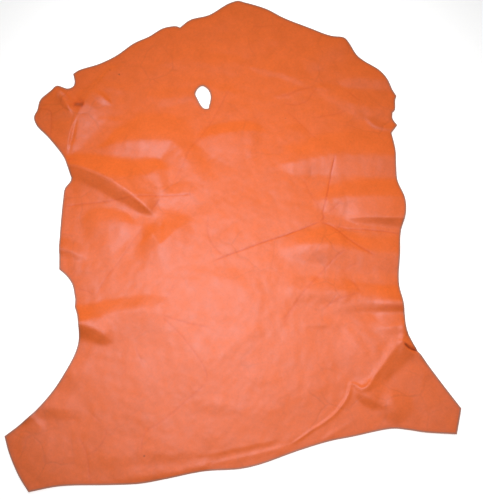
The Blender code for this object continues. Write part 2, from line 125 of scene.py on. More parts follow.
# The flaw hole behind the neck, clockwise from its top.
HOLE = (
    Cut(-62, 273, "soft"), Cut(-50, 264, "soft"), Cut(-46, 250, "soft"),
    Cut(-50, 226, "corner"), Cut(-59, 227, "soft"), Cut(-71, 246, "soft"),
    Cut(-75, 257, "soft"), Cut(-70, 268, "soft"),
)

# The main folds, one row each.  Rise and widths are given at even steps from
# the path's start to its end; left and right are seen along the path.
Fold = namedtuple("Fold", "name rise_mm left_mm right_mm profile round_mm fade_mm path")
MAIN_FOLDS = (
    # left foreleg
    Fold("foreleg_arm", (0.4, 3.8, 5.8, 5.8, 3.6), (34, 44, 50, 46, 34), (14, 14, 13, 12, 12), "tent", 2.2, (12, 14), ((-299, 198), (-308, 215), (-318, 233), (-331, 252), (-348, 272))),
    Fold("shoulder_arc", (0.6, 3.0, 5.2, 7.0, 8.0, 5.6, 2.4, 1.2, 0.5), (20, 46, 50, 50, 26, 14, 10, 9, 8), (8, 28, 42, 52, 54, 50, 42, 32, 24), "tent", 3.0, (6, 40), ((-313, 120), (-311, 146), (-307, 174), (-299, 202), (-288, 229), (-273, 255), (-256, 281), (-240, 306), (-216, 332))),
    Fold("foreleg_pocket", (-1.8, -3.4, -3.0), (12, 11, 10), (8, 9, 8), "soft", 2.0, (10, 8), ((-312, 252), (-302, 243), (-292, 236), (-280, 230))),
    # left shoulder
    Fold("shoulder_band", (0.92, 3.22, 5.75, 6.60, 6.40, 5.40, 4.20, 3.00, 2.10, 1.20, 0.40), (12, 14, 34, 54, 58, 48, 38, 34, 30, 26, 20), (18, 26, 34, 38, 38, 38, 42, 46, 50, 50, 44), "tent", 7.0, (30, 34), ((-262, 141), (-232, 149), (-205, 157), (-175, 159), (-145, 161), (-122, 160), (-108, 151), (-98, 136), (-89, 118), (-76, 98), (-58, 72), (-36, 44))),
    Fold("flank_band", (3.60, 4.80, 5.76, 6.00, 5.52, 3.60), (18, 32, 42, 40, 34, 20), (22, 48, 62, 70, 66, 50), "tent", 6.0, (0, 26), ((-314, 112), (-290, 107), (-262, 98), (-232, 89), (-200, 86), (-168, 90), (-140, 98), (-112, 106))),
    Fold("flank_ridge", (4.8, 6.2, 6.6, 6.2, 5.2, 3.2), (14, 34, 52, 52, 42, 26), (19, 23, 22, 20, 16, 11), "tent", 5.0, (0, 18), ((-314, 110), (-298, 106), (-270, 96), (-240, 81), (-210, 62), (-190, 50), (-165, 32), (-140, 9))),
    Fold("flank_roll", (0.3, 1.4, 3.0, 3.8, 3.6, 2.8, 1.8), (36, 34, 30, 28, 24, 16, 13), (50, 54, 56, 56, 50, 34, 18), "tent", 13.0, (30, 10), ((-285, -14), (-262, -8), (-240, -2), (-216, 0), (-196, -3), (-180, -7), (-168, -10))),
    Fold("back_step", (0.8, 1.9, 1.4, 0.8), (22, 22, 24, 26), (30, 28, 30, 30), "tent", 6.0, (24, 40), ((-150, 40), (-128, 50), (-105, 54), (-78, 54), (-40, 52))),
    Fold("back_vee_right", (1.8, 3.8, 5.0, 4.2, 2.6, 1.0), (16, 22, 30, 32, 30, 26), (16, 20, 50, 40, 30, 24), "tent", 2.6, (12, 24), ((-168, 0), (-151, -18), (-133, -40), (-117, -28), (-98, -10), (-70, 10))),
    # waist
    Fold("waist_roll", (7.0, 5.6, 4.4, 3.8, 2.2, 0.8), (30, 28, 27, 27, 27, 26), (30, 44, 54, 60, 60, 60), "tent", 8.0, (0, 60), ((-284, -181), (-262, -179), (-235, -173), (-205, -165), (-170, -161), (-135, -160), (-75, -160))),
    Fold("hind_roll_upper", (2.0, 1.4, 0.5), (26, 26, 24), (30, 28, 24), "tent", 8.0, (0, 30), ((-300, -262), (-284, -266), (-262, -268), (-236, -274))),
    Fold("hind_roll_lower", (2.6, 2.0, 1.0), (26, 26, 24), (17, 19, 22), "tent", 5.0, (0, 50), ((-348, -336), (-332, -328), (-312, -325), (-288, -326), (-240, -334))),
    Fold("hind_pinch", (2.0, 0.9), (10, 9), (20, 18), "tent", 3.0, (0, 24), ((-350, -330), (-342, -339), (-330, -350), (-312, -368))),
    # rear edge and the long fold to the right hind leg
    Fold("rear_curl", (0.27, 1.00, 1.46, 1.46), (18, 18, 16, 14), (12, 12, 12, 12), "tent", 4.0, (60, 0), ((-240, -440), (-190, -437), (-150, -434), (-110, -429), (-75, -423), (-50, -417))),
    Fold("rear_band", (0.7, 0.8), (30, 28), (20, 18), "tent", 5.0, (50, 40), ((-290, -402), (-240, -404), (-200, -405), (-150, -399), (-100, -398), (-40, -398))),
    Fold("rump_upper", (0.5, 1.0, 1.0), (44, 50, 40), (8, 8, 8), "tent", 2.6, (30, 16), ((-70, -402), (-45, -399), (-20, -394), (10, -388), (45, -381), (84, -373))),
    Fold("rump_lower", (0.39, 0.65, 0.65), (6, 6, 6), (10, 12, 12), "tent", 2.4, (24, 16), ((-62, -421), (-25, -413), (10, -406), (45, -398), (78, -390), (100, -380))),
    Fold("long_fold_top", (0.8, 1.4, 1.4, 0.8), (9, 9, 9, 8), (16, 14, 12, 10), "tent", 2.4, (12, 16), ((284, -224), (288, -212), (291, -200), (292, -186), (292, -170))),
    Fold("leg_end_fold", (1.4, 2.6, 2.6), (7, 7, 6), (20, 22, 16), "tent", 2.4, (14, 0), ((276, -212), (289, -216), (300, -223), (310, -230), (322, -236))),
    Fold("rump_branch", (2.2, 4.4, 4.4, 3.0, 1.0), (28, 30, 34, 32, 30), (14, 17, 17, 17, 16), "tent", 5.0, (14, 30), ((196, -288), (212, -298), (228, -307), (245, -316), (264, -328))),
    # right flank
    Fold("hip_band", (0.2, 1.2, 3.2, 6.0, 8.8), (30, 34, 34, 28, 26), (28, 24, 20, 19, 19), "tent", 15.0, (60, 0), ((130, -150), (180, -144), (222, -143), (262, -144), (305, -145))),
    Fold("side_fold", (1.4, 4.8, 7.6), (30, 32, 34), (8, 14, 20), "tent", 2.2, (36, 0), ((190, 9), (216, 10), (246, 10), (278, 9), (318, 8))),
    Fold("side_swell", (0.96, 4.32, 6.48, 7.68), (18, 30, 36, 38), (24, 36, 42, 44), "tent", 7.0, (40, 0), ((136, 40), (175, 45), (205, 48), (240, 48), (280, 47), (320, 47))),
    Fold("side_band", (0.92, 4.14, 5.75, 6.90, 7.60), (26, 38, 46, 50, 52), (20, 32, 40, 44, 46), "tent", 9.0, (40, 0), ((70, 110), (112, 119), (152, 127), (190, 132), (235, 132), (275, 131), (312, 129))),
    Fold("middle_band", (0.20, 2.40, 5.00, 5.80, 5.20, 4.60, 4.20, 4.40), (16, 26, 32, 34, 30, 30, 32, 34), (24, 28, 34, 38, 36, 36, 36, 36), "tent", 8.0, (30, 0), ((66, -44), (105, -44), (140, -42), (172, -42), (200, -48), (230, -56), (265, -58), (306, -58))),
    Fold("lower_band", (0.4, 1.6, 2.4, 2.6, 1.6), (26, 28, 28, 26, 22), (18, 22, 22, 22, 20), "tent", 8.0, (30, 36), ((70, -122), (105, -125), (140, -127), (180, -126), (226, -120))),
    # right shoulder and neck
    Fold("corner_band", (1.32, 3.30, 3.74), (30, 36, 38), (22, 24, 26), "tent", 8.0, (40, 0), ((186, 288), (220, 290), (250, 291), (300, 288))),
    Fold("corner_fold", (0.8, 1.5, 1.7), (14, 30, 34), (16, 24, 28), "tent", 6.0, (24, 0), ((150, 270), (180, 258), (205, 245), (235, 233), (265, 226), (312, 226))),
    Fold("shoulder_crease", (1.0, 1.5, 1.2), (44, 40, 24), (13, 13, 13), "tent", 4.0, (20, 20), ((18, 319), (65, 307), (95, 299), (120, 287), (148, 268))),
    Fold("neck_band", (1.0, 1.6), (24, 22), (28, 28), "tent", 7.0, (30, 20), ((-74, 317), (-40, 319), (-5, 320), (30, 316))),
    Fold("neck_diagonal", (2.75, 1.75), (30, 22), (44, 26), "tent", 8.0, (0, 34), ((222, 384), (200, 364), (172, 342), (150, 318), (142, 296))),
    Fold("middle_plateau", (3.00, 3.75, 3.00), (20, 22, 20), (40, 64, 70), "tent", 4.5, (18, 40), ((-76, 156), (-60, 164), (-40, 170), (-20, 174), (25, 178), (66, 176))),
    Fold("long_fold", (0.6, 0.8, 0.9, 1.0, 1.1, 1.2, 1.1, 0.5, 0.0, 0.0), (3, 3, 3, 3, 3.4, 4.4, 5.4, 7, 8, 8), (4.4, 4.6, 5, 5.4, 6, 7, 8, 8, 8, 8), "tent", 1.5, (14, 6), ((88, -387), (108, -376), (130, -361), (150, -349), (170, -334), (185, -317), (193, -305), (196, -295), (199, -286), (206, -287), (215, -293), (227, -289), (238, -273), (250, -257), (262, -239), (274, -224), (287, -214))),
    Fold("thigh_valley", (-0.2, -0.3, -0.5, -0.9, -0.8), (12, 13, 14, 14, 13), (10, 12, 13, 13, 12), "soft", 0.0, (20, 14), ((226, -278), (234, -265), (244, -249), (255, -231), (268, -215), (281, -204))),
    Fold("leg_lift_right", (2.4, 4.0, 3.4), (40, 40, 40), (120, 130, 120), "tent", 16.0, (0, 0), ((350, -270), (380, -320), (376, -370), (350, -392))),
    Fold("leg_lift_left", (1.4, 1.8, 1.3), (120, 120, 100), (40, 40, 40), "tent", 16.0, (0, 0), ((-398, -352), (-376, -396), (-346, -446), (-330, -478))),
    Fold("thigh_rise", (0.8, 2.8, 5.4, 7.4, 8.0), (60, 84, 96, 96, 80), (9, 16, 24, 31, 34), "tent", 2.4, (30, 0), ((206, -308), (222, -291), (238, -273), (254, -253), (270, -232), (289, -212))),
    Fold("foreleg_slit", (-0.5, -1.3, -1.7, -1.5, -0.8), (5, 5, 5, 5, 5), (5, 6, 6, 6, 6), "tent", 1.4, (10, 12), ((-308, 126), (-306, 150), (-302, 176), (-298, 194), (-292, 212))),
    Fold("waist_lip", (4.6, 4.6, 4.0, 2.4), (24, 26, 26, 22), (18, 20, 20, 18), "tent", 4.0, (0, 22), ((-286, -183), (-262, -186), (-236, -195), (-200, -218))),
    Fold("hip_second", (0.5, 1.8, 3.4, 4.0), (60, 74, 80, 80), (13, 14, 15, 16), "tent", 3.0, (24, 0), ((232, -192), (258, -191), (282, -188), (304, -182))),
)

# Lesser folds, of which the plainer solid needs no more than the sum.
FINE_FOLDS = (
    Fold("shoulder_facet", (2.6, 2.4, 1.6), (7, 7, 6), (14, 13, 11), "tent", 3.0, (8, 10), ((-268, 262), (-256, 252), (-244, 242), (-230, 232))),
    Fold("shoulder_small", (0.6, 0.5), (9, 9), (13, 12), "tent", 5.0, (24, 34), ((-270, 206), (-240, 201), (-215, 199), (-186, 197))),
    Fold("shoulder_swell", (0.7, 0.5), (16, 14), (18, 18), "soft", 3.0, (24, 24), ((-256, 272), (-228, 268), (-196, 262))),
    Fold("shoulder_swell_2", (0.6, 0.5), (16, 16), (16, 18), "soft", 3.0, (24, 30), ((-250, 312), (-225, 306), (-190, 300))),
    Fold("left_edge_fold", (3.4, 2.2, 0.6), (22, 20, 16), (12, 12, 10), "tent", 3.4, (0, 20), ((-322, -46), (-303, -50), (-280, -58), (-250, -69))),
    Fold("back_line_band", (0.5, 0.8, 1.0, 1.0, 0.9, 0.5), (26, 26, 26, 26, 26, 24), (70, 70, 70, 70, 70, 60), "tent", 2.6, (40, 40), ((-196, -98), (-150, -101), (-100, -105), (-40, -106), (30, -106), (80, -104))),
    Fold("left_low_swell", (0.32, 0.24), (16, 14), (18, 18), "soft", 3.0, (10, 20), ((-290, -112), (-262, -112), (-232, -116))),
    Fold("belly_diagonal", (0.96, 0.64), (20, 18), (15, 14), "tent", 5.0, (16, 24), ((12, -198), (-2, -212), (-14, -230), (-28, -256))),
    Fold("belly_diagonal_2", (0.7, 0.4), (16, 14), (16, 14), "tent", 6.0, (14, 20), ((14, -200), (36, -196), (64, -190))),
    Fold("rump_band_left", (0.66, 0.54), (15, 14), (20, 20), "tent", 6.0, (24, 24), ((-86, -318), (-55, -318), (-20, -320), (14, -323))),
    Fold("rump_band_right", (0.35, 0.35), (16, 14), (18, 16), "tent", 6.0, (14, 14), ((22, -326), (50, -327), (82, -324))),
    Fold("rump_band_upper", (0.35, 0.35), (15, 14), (15, 14), "tent", 6.0, (14, 14), ((14, -274), (45, -275), (82, -274))),
    Fold("thigh_crescent", (0.50, 0.50), (16, 14), (15, 15), "tent", 6.0, (16, 20), ((118, -288), (138, -292), (158, -286), (174, -272))),
    Fold("thigh_upright", (0.60, 0.48), (9, 9), (10, 9), "tent", 3.4, (12, 14), ((182, -262), (186, -280), (190, -300))),
    Fold("thigh_diagonal", (0.60, 0.48), (12, 12), (10, 12), "tent", 6.0, (12, 18), ((192, -186), (204, -205), (216, -224), (232, -244))),
    Fold("thigh_line", (0.8, 0.6), (14, 14), (8, 8), "tent", 2.4, (20, 24), ((106, -184), (150, -185), (190, -186))),
    Fold("thigh_swell", (0.40, 0.40), (12, 14), (14, 14), "soft", 3.0, (14, 16), ((238, -212), (246, -232), (238, -252))),
    Fold("leg_upright", (2.4, 4.4, 3.2), (28, 34, 36), (18, 28, 30), "tent", 5.0, (20, 16), ((258, -286), (265, -306), (269, -330), (271, -356))),
    Fold("leg_under", (0.60, 0.50), (6, 6), (8, 9), "tent", 3.0, (12, 16), ((132, -382), (152, -374), (176, -361), (202, -345))),
    Fold("side_upper_line", (0.24, 0.18), (8, 8), (8, 8), "tent", 5.0, (20, 14), ((66, 109), (100, 113), (140, 119), (184, 130))),
    Fold("notch_line", (0.98, 1.20, 1.05), (12, 12, 10), (8, 8, 8), "tent", 2.2, (14, 0), ((240, 214), (252, 203), (264, 192), (282, 186), (306, 184))),
    Fold("shoulder_star", (0.54, 0.54), (14, 12), (8, 8), "tent", 4.0, (20, 10), ((66, 250), (95, 254), (120, 262), (146, 268))),
    Fold("shoulder_star_2", (0.7, 0.6), (9, 10), (9, 10), "tent", 3.0, (10, 14), ((148, 270), (166, 270), (194, 271))),
    Fold("shoulder_blade", (1.0, 0.8), (20, 16), (26, 22), "tent", 6.0, (20, 20), ((96, 190), (118, 176), (148, 168))),
    Fold("neck_swell", (0.45, 0.41), (24, 22), (14, 14), "tent", 6.0, (14, 26), ((34, 366), (60, 372), (92, 372))),
    Fold("neck_left_band", (0.6, 0.5), (34, 30), (12, 12), "tent", 6.0, (30, 24), ((-150, 321), (-118, 323), (-98, 319), (-78, 309))),
    Fold("neck_left_upright", (0.6, 0.5), (12, 12), (14, 14), "tent", 6.0, (0, 20), ((-140, 402), (-137, 374), (-134, 344), (-133, 318))),
    Fold("hole_band", (1.0, 1.0), (22, 20), (20, 20), "tent", 5.0, (40, 0), ((-170, 246), (-140, 248), (-110, 249), (-68, 251))),
    Fold("hole_band_2", (0.84, 0.78), (22, 20), (20, 18), "tent", 5.0, (20, 16), ((-44, 262), (-15, 260), (20, 259))),
    Fold("middle_swell_2", (0.4, 0.5), (30, 34), (30, 36), "soft", 4.0, (14, 14), ((-40, -36), (-14, -34), (20, -30))),
    Fold("leg_notch", (-2.0, -4.4, -4.6), (5, 5, 5), (4, 4, 4), "tent", 0.8, (6, 0), ((288, -214), (298, -223), (307, -228), (320, -231))),
    Fold("foreleg_light", (1.2, 4.2, 3.0, 0.3), (9, 9, 10, 8), (9, 9, 10, 8), "tent", 5.0, (10, 5), ((-342, 268), (-327, 248), (-314, 228), (-303, 208))),
    Fold("flank_lip", (1.2, 1.9, 1.9, 1.8, 1.6, 1.2), (22, 28, 28, 26, 22, 16), (9, 9, 9, 9, 8, 8), "tent", 1.2, (0, 10), ((-314, 115), (-298, 111), (-275, 104), (-250, 93), (-225, 79), (-200, 63), (-175, 43), (-150, 21), (-136, 8))),
)

# Creases pressed into the grain side only.  The lip is the small rise along
# the side that the crease was folded to, left of the path if it is positive.
Crease = namedtuple("Crease", "name depth_mm width_mm lip_mm path")
CREASES = (
    Crease("belly_line", 0.18, 2.2, 0.00, ((-312, 31), (-290, 34), (-225, 41), (-170, 49), (-110, 52), (-75, 55))),
    Crease("left_diagonal", 0.08, 2.2, 0.00, ((-166, -8), (-180, -30), (-195, -55), (-215, -85), (-230, -105), (-243, -132))),
    Crease("short_tick", 0.22, 2.2, 0.00, ((-134, 47), (-142, 36), (-150, 24))),
    Crease("back_line", 0.09, 2.2, 0.00, ((-8, 270), (-16, 255), (-30, 225), (-50, 188), (-66, 165), (-82, 145), (-96, 110), (-112, 78))),
    Crease("shoulder_thread", 0.06, 2.0, 0.00, ((98, 220), (112, 208), (128, 190), (145, 172), (160, 160))),
    Crease("side_upright", 0.41, 1.9, 0.00, ((187, 131), (181, 108), (175, 80), (168, 50), (162, 25), (159, 15))),
    Crease("side_link", 0.42, 2.0, 0.00, ((158, 18), (163, 11), (154, 2))),
    Crease("side_upright_2", 0.06, 2.4, 0.00, ((127, 85), (135, 65), (145, 45), (157, 26))),
    Crease("side_tick", 0.17, 2.2, 0.00, ((170, 18), (185, 32), (197, 43))),
    Crease("back_long", 0.38, 2.0, 0.00, ((154, 2), (120, -12), (90, -23), (45, -38), (20, -48), (-17, -62), (-35, -70))),
    Crease("back_hook", 0.09, 2.6, 0.00, ((-17, -62), (-33, -47), (-44, -30), (-48, -10), (-47, 12))),
    Crease("side_down", 0.28, 2.4, 0.00, ((155, 1), (172, -4), (185, -13), (205, -31), (225, -46), (240, -55), (252, -62))),
    Crease("side_down_2", 0.08, 2.0, 0.00, ((170, -8), (186, -20), (203, -38), (218, -50))),
    Crease("side_across", 0.23, 2.0, 0.00, ((178, -6), (205, -11), (240, -13), (270, -16), (300, -21))),
    Crease("side_across_2", 0.09, 1.8, 0.00, ((172, -4), (190, -5), (218, -5))),
    Crease("hip_long", 0.14, 2.6, 0.00, ((202, -50), (185, -60), (170, -75), (150, -97), (135, -112), (118, -132), (104, -152), (84, -178))),
    Crease("hip_long_2", 0.09, 2.2, 0.00, ((112, -146), (102, -160), (92, -174), (84, -186))),
    Crease("hip_short", 0.08, 2.4, 0.00, ((190, -92), (205, -81), (222, -74))),
    Crease("hip_short_2", 0.09, 2.4, 0.00, ((204, -103), (214, -115), (224, -130))),
    Crease("hip_edge", 0.12, 2.6, 0.00, ((155, -156), (172, -146), (183, -140), (200, -134), (220, -128))),
    Crease("belly_run", 0.12, 2.2, 0.00, ((-126, -170), (-110, -186), (-95, -200), (-80, -217), (-65, -237), (-52, -256), (-46, -272), (-47, -284))),
    Crease("belly_run_2", 0.11, 2.6, 0.00, ((-47, -284), (-58, -294), (-72, -306), (-90, -322), (-105, -335), (-125, -350), (-146, -363), (-152, -377), (-154, -400))),
    Crease("waist_thread", 0.16, 2.2, 0.00, ((-125, -168), (-105, -175), (-85, -180), (-65, -185), (-42, -189))),
    Crease("leg_hook", 0.11, 2.0, 0.00, ((-212, -356), (-214, -370), (-221, -385), (-232, -395), (-243, -401))),
    Crease("leg_upright", 0.11, 2.2, 0.00, ((-257, -374), (-250, -385), (-243, -401), (-240, -415), (-237, -432), (-235, -446))),
    Crease("leg_tick", 0.09, 1.8, 0.00, ((-240, -334), (-229, -343), (-220, -352))),
    Crease("small_tick_1", 0.06, 2.0, 0.00, ((-173, -220), (-162, -240), (-153, -259))),
    Crease("small_tick_2", 0.06, 2.0, 0.00, ((-184, -254), (-188, -268))),
    Crease("middle_tick", 0.09, 2.2, 0.00, ((-104, -105), (-111, -122), (-121, -138))),
    Crease("star_1", 0.14, 2.4, 0.00, ((152, 272), (135, 268), (118, 263), (100, 254), (82, 252))),
    Crease("star_2", 0.11, 2.4, 0.00, ((158, 271), (148, 258), (136, 241), (112, 234), (92, 238))),
    Crease("star_3", 0.12, 2.4, 0.00, ((214, 263), (226, 252), (240, 240))),
    Crease("shoulder_low", 0.11, 2.4, 0.00, ((150, 206), (170, 211), (190, 214), (212, 222))),
    Crease("flap_line", 0.17, 2.2, 0.00, ((-372, 226), (-358, 224), (-348, 220), (-345, 200), (-345, 168))),
    Crease("flank_thread", 0.15, 1.8, 0.00, ((-278, -122), (-262, -125), (-244, -132))),
    Crease("neck_thread", 0.06, 2.2, 0.00, ((32, 402), (55, 402), (74, 404))),
)



def through(points, step):
    """Evenly drawn points on a smooth curve through the given ones."""
    points = [np.array(p, dtype=float) for p in points]
    ends = [2 * points[0] - points[1]] + points + [2 * points[-1] - points[-2]]
    drawn = []
    for a, b, c, d in zip(ends, ends[1:], ends[2:], ends[3:]):
        t0, t1 = 0.0, math.dist(a, b) ** 0.5
        t2 = t1 + math.dist(b, c) ** 0.5
        t3 = t2 + math.dist(c, d) ** 0.5
        count = max(1, round(math.dist(b, c) / step))
        for t in np.linspace(t1, t2, count, endpoint=False):
            ab = (a * (t1 - t) + b * (t - t0)) / (t1 - t0)
            bc = (b * (t2 - t) + c * (t - t1)) / (t2 - t1)
            cd = (c * (t3 - t) + d * (t - t2)) / (t3 - t2)
            abc = (ab * (t2 - t) + bc * (t - t0)) / (t2 - t0)
            bcd = (bc * (t3 - t) + cd * (t - t1)) / (t3 - t1)
            drawn.append((abc * (t2 - t) + bcd * (t - t1)) / (t2 - t1))
    drawn.append(points[-1])
    return drawn


def closed_edge(rows, step):
    """A closed loop through the rows, sharp at corners and smooth elsewhere."""
    first = next((i for i, r in enumerate(rows) if r.turn == "corner"), 0)
    rows = rows[first:] + rows[:first]
    loop, run = [], []
    for row in rows + (rows[0],):
        run.append((row.x_mm, row.y_mm))
        if len(run) > 1 and (row.turn == "corner" or row is rows[0]):
            loop += through(run, step)[:-1]
            run = [(row.x_mm, row.y_mm)]
    return np.array(loop)


def nearest_on(points, line):
    """Distance, side (+1 left) and distance travelled along, for each point."""
    a, b = line[:-1], line[1:]
    seg = b - a
    length = np.hypot(seg[:, 0], seg[:, 1])
    before = np.concatenate(([0.0], np.cumsum(length)[:-1]))
    dist, side, travelled = (np.zeros(len(points)) for _ in range(3))
    for start in range(0, len(points), 6000):
        chunk = points[start:start + 6000]
        rel = chunk[:, None, :] - a[None]
        along = np.clip((rel * seg).sum(axis=2) / length ** 2, 0, 1)
        off = rel - along[..., None] * seg
        gap = np.hypot(off[..., 0], off[..., 1])
        pick = gap.argmin(axis=1)
        rows = np.arange(len(chunk))
        off, chosen = off[rows, pick], seg[pick]
        end = start + len(chunk)
        side[start:end] = np.where(chosen[:, 0] * off[:, 1] - chosen[:, 1] * off[:, 0] >= 0, 1.0, -1.0)
        dist[start:end] = gap[rows, pick]
        travelled[start:end] = before[pick] + along[rows, pick] * length[pick]
    return dist, side, travelled, length.sum()


def ease(t):
    t = np.clip(t, 0.0, 1.0)
    return t * t * (3 - 2 * t)


def along(values, t):
    """Values given at even steps from the start (t = 0) to the end (t = 1)."""
    return np.interp(t, np.linspace(0, 1, len(values)), values)


def near_path(points, path, reach):
    path = np.array(path, dtype=float)
    return ((points > path.min(axis=0) - reach) & (points < path.max(axis=0) + reach)).all(axis=1)


def fold_height(points, fold):
    """What one fold adds to the height of each point, in millimetres."""
    near = near_path(points, fold.path, 1.7 * max(fold.left_mm + fold.right_mm) + fold.round_mm)
    height = np.zeros(len(points))
    if not near.any():
        return height
    dist, side, travelled, total = nearest_on(points[near], np.array(through(fold.path, 2.5)))
    t = travelled / total
    # the two widths blend into each other around the crest line and its ends
    turn = 0.5 + 0.5 * side
    width = along(fold.right_mm, t) * (1 - turn) + along(fold.left_mm, t) * turn
    # an end that fades out also narrows, like the end of a real fold
    left_over = np.ones(len(t))
    for fade, gone in ((fold.fade_mm[0], travelled), (fold.fade_mm[1], total - travelled)):
        if fade > 0:
            left_over = left_over * ease(gone / max(fade, min(SHORT_FADE * total, LONG_FADE)))
    strength = along(fold.rise_mm, t) * left_over
    width = width * (0.45 + 0.55 * left_over)
    if fold.profile == "soft":
        shape = 0.5 + 0.5 * np.cos(np.pi * np.clip(dist / width, 0, 1))
    else:
        rounded = np.sqrt(dist ** 2 + fold.round_mm ** 2) - fold.round_mm
        reach = np.sqrt(width ** 2 + fold.round_mm ** 2) - fold.round_mm
        fall = 1 - rounded / reach
        if fold.profile == "tent":    # straight flanks that run out softly at the foot
            shape = (fall + np.sqrt(fall ** 2 + FOOT_SOFTNESS ** 2)) / 2 * (fall > -0.7)
        else:
            shape = np.clip(fall, 0, 1) ** 1.8
    height[near] = strength * shape
    return height


def crease_height(points, crease):
    near = near_path(points, crease.path, crease.width_mm * 4)
    height = np.zeros(len(points))
    if not near.any():
        return height
    dist, side, travelled, total = nearest_on(points[near], np.array(through(crease.path, 4.0)))
    ends = ease(np.minimum(travelled, total - travelled) / 14.0)
    s = dist / crease.width_mm
    valley = -crease.depth_mm * np.exp(-1.6 * s ** 2)
    lip = np.abs(crease.lip_mm) * np.exp(-2.0 * (s - 1.7) ** 2) * (side * np.sign(crease.lip_mm) > 0)
    height[near] = (valley + lip) * ends
    return height


def waves(points, seed, count, longest, shortest, height):
    """Slow, shallow unevenness: many plane waves of random heading."""
    rng = np.random.default_rng(seed)
    total = np.zeros(len(points))
    for _ in range(count):
        length = longest * (shortest / longest) ** rng.random()
        heading, start = rng.random(2) * 2 * np.pi
        way = points[:, 0] * np.cos(heading) + points[:, 1] * np.sin(heading)
        total += np.sin(2 * np.pi * way / length + start) * (length / longest)
    return total * height / math.sqrt(count / 2)

def underside(points, to_edge):
    """Height of the flesh side above the surface, never below it."""
    raw = along((EDGE_LIFT, BASE_LIFT), ease(to_edge / EDGE_REACH))
    for fold in MAIN_FOLDS + FINE_FOLDS:
        raw = raw + fold_height(points, fold)
    raw = raw + waves(points, 11, 60, 150.0, 45.0, SLOW_WAVES) * ease((to_edge + 8.0) / 30.0)
    soft = CONTACT_SOFTNESS
    return np.where(raw <= 0, 0.0, np.where(raw < 2 * soft, raw ** 2 / (4 * soft), raw - soft))


def grain_detail(points, to_edge):
    """What the grain side has that the flesh side lacks: creases and fine unevenness."""
    detail = waves(points, 5, 50, 34.0, 11.0, SMALL_WAVES) * ease(to_edge / 8.0)
    for crease in CREASES:
        detail = detail + crease_height(points, crease)
    return detail


def inside(points, loop):
    """Which points lie within a closed loop."""
    ax, ay = loop[:, 0], loop[:, 1]
    bx, by = np.roll(ax, -1), np.roll(ay, -1)
    run = np.where(by == ay, 1.0, by - ay)
    found = np.zeros(len(points), dtype=bool)
    for start in range(0, len(points), 6000):
        x, y = points[start:start + 6000, 0:1], points[start:start + 6000, 1:2]
        crosses = (ay > y) != (by > y)
        hit = crosses & (x < ax + (y - ay) / run * (bx - ax))
        found[start:start + 6000] = (hit.sum(axis=1) % 2) == 1
    return found


def turning(loop):
    """+1 for a loop drawn anticlockwise, -1 for a clockwise one."""
    x, y = loop[:, 0], loop[:, 1]
    return np.sign((x * np.roll(y, -1) - y * np.roll(x, -1)).sum())


def distance_to(points, loop):
    tree = KDTree(len(loop))
    for i, p in enumerate(loop):
        tree.insert((p[0], p[1], 0.0), i)
    tree.balance()
    return np.array([tree.find((p[0], p[1], 0.0))[2] for p in points])


def side_points(edge, hole, calm, rows, row_step, creases):
    """Points for one side: a calm lattice, and rows that follow each sharp line."""
    lines = [f for f in MAIN_FOLDS + FINE_FOLDS if f.profile != "soft"]
    paths = [f.path for f in lines] + ([c.path for c in CREASES] if creases else [])
    found = []
    for path in paths:
        line = np.array(through(path, row_step))
        ahead = np.gradient(line, axis=0)
        ahead = ahead / np.hypot(ahead[:, 0], ahead[:, 1])[:, None]
        left = np.stack((-ahead[:, 1], ahead[:, 0]), axis=1)
        for off in rows:
            found.append(line + left * off)
            if off:
                found.append(line - left * off)
    for loop, inward in ((edge, 1.0), (hole, -1.0)):
        ahead = np.roll(loop, -1, axis=0) - np.roll(loop, 1, axis=0)
        ahead = ahead / np.hypot(ahead[:, 0], ahead[:, 1])[:, None] * inward * turning(loop)
        found.append(loop + np.stack((-ahead[:, 1], ahead[:, 0]), axis=1) * RIM_ROW)
    found = np.vstack(found[-2:] + found[:-2])
    taken, kept = {}, []
    cell = 1.0

    def free(x, y, gap):
        i, j = int(x // cell), int(y // cell)
        reach = int(gap // cell) + 1
        for a in range(i - reach, i + reach + 1):
            for b in range(j - reach, j + reach + 1):
                other = taken.get((a, b))
                if other is not None and math.hypot(other[0] - x, other[1] - y) < gap:
                    return False
        return True

    def take(x, y):
        taken[(int(x // cell), int(y // cell))] = (x, y)
        kept.append((x, y))

    for x, y in edge:
        taken[(int(x // cell), int(y // cell))] = (x, y)
    for x, y in hole:
        taken[(int(x // cell), int(y // cell))] = (x, y)
    keep = inside(found, edge) & ~inside(found, hole)
    for x, y in found[keep]:
        if free(x, y, 0.95):
            take(x, y)
    grid = []
    span = 470
    for j, y in enumerate(np.arange(-span, span, calm * 0.866)):
        for x in np.arange(-span + (j % 2) * calm / 2, span, calm):
            grid.append((x, y))
    grid = np.array(grid)
    keep = inside(grid, edge) & ~inside(grid, hole)
    for x, y in grid[keep]:
        if free(x, y, calm * 0.5):
            take(x, y)
    return np.array(kept)


def triangulate(edge, hole, points):
    count, ring = len(edge), len(hole)
    rims = [(i, (i + 1) % count) for i in range(count)]
    rims += [(count + i, count + (i + 1) % ring) for i in range(ring)]
    every = np.vstack((edge, hole, points))
    flat, _, faces, origin, _, _ = delaunay_2d_cdt([Vector(p) for p in every], rims, [], 0, 1e-5)
    flat = np.array([tuple(v) for v in flat])
    flat[:, :] = [every[o[0]] if o else f for o, f in zip(origin, flat)]
    middle = np.array([flat[list(f)].mean(axis=0) for f in faces])
    real = inside(middle, edge) & ~inside(middle, hole)
    faces = [f for f, r in zip(faces, real) if r]
    place = {o[0]: i for i, o in enumerate(origin) if o}
    loops = [[place[i] for i in range(count)], [place[count + i] for i in range(ring)]]
    return flat, faces, loops


